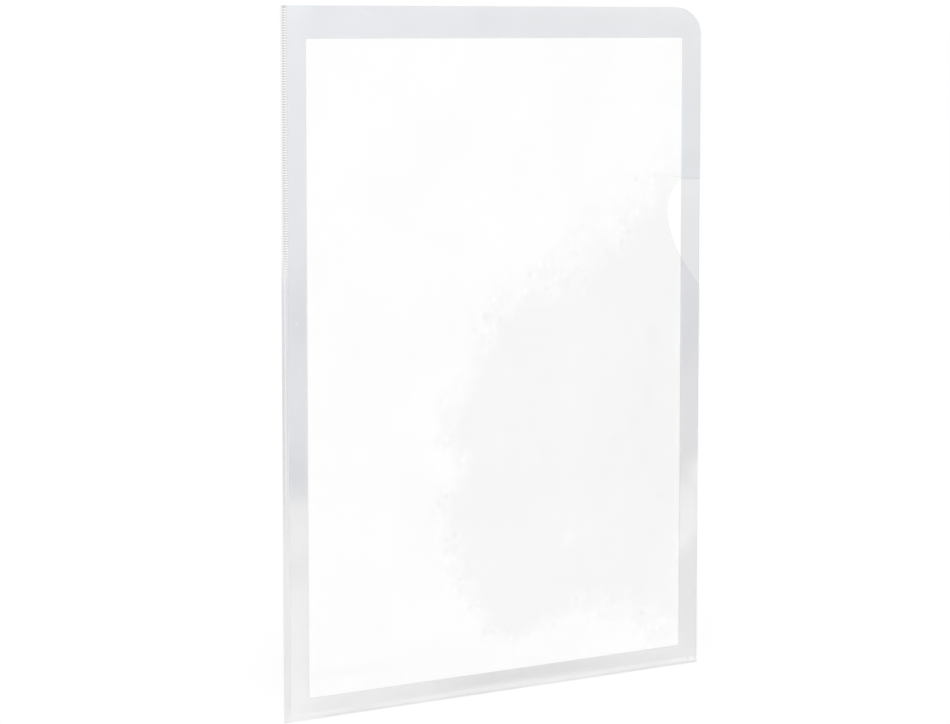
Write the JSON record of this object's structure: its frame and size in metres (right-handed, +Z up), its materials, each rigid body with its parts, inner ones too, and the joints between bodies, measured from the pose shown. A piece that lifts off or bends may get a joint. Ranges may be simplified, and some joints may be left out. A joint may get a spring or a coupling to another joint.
{
  "type": "plastic document folder",
  "caption": "Clear film document folder with a ribbed side seam, a plain bottom seam, a thumb notch in the open side and a loose sheet that slides out.",
  "frame": {"origin": "middle of the folder's bottom edge, half way through its thickness", "axes": "+Z runs up the folder from its welded bottom to its open top, +X across it from the ribbed side seam to the open side with the thumb notch, and -Y out of the front film"},
  "size_m": [0.234, 0.0008, 0.321],
  "materials": {
    "clear_film": "clear, smooth and glossy",
    "welded_film": "clear, pressed and slightly clouded",
    "white_paper": "matte, plain white"
  },
  "bodies": {
    "folder": {"back_film": "clear_film", "front_film": "clear_film", "side_seam": "welded_film", "bottom_seam": "welded_film"},
    "free_corner": {"front_film_free_corner": "clear_film"},
    "sheet": {"paper_sheet": "white_paper"}
  },
  "joints": [
    {"name": "free_corner_lift", "type": "hinge", "parent": "folder", "child": "free_corner", "pos_m": [0.00165, -0.0003, 0.16205], "axis": [0.5873, 0, -0.8093], "range_deg": [0, 60], "stiffness_Nm_per_rad": 0.0065},
    {"name": "sheet_slide", "type": "slide", "parent": "folder", "child": "sheet", "axis": [1, 0, 0], "range_m": [-0.009, 0.222]}
  ]
}
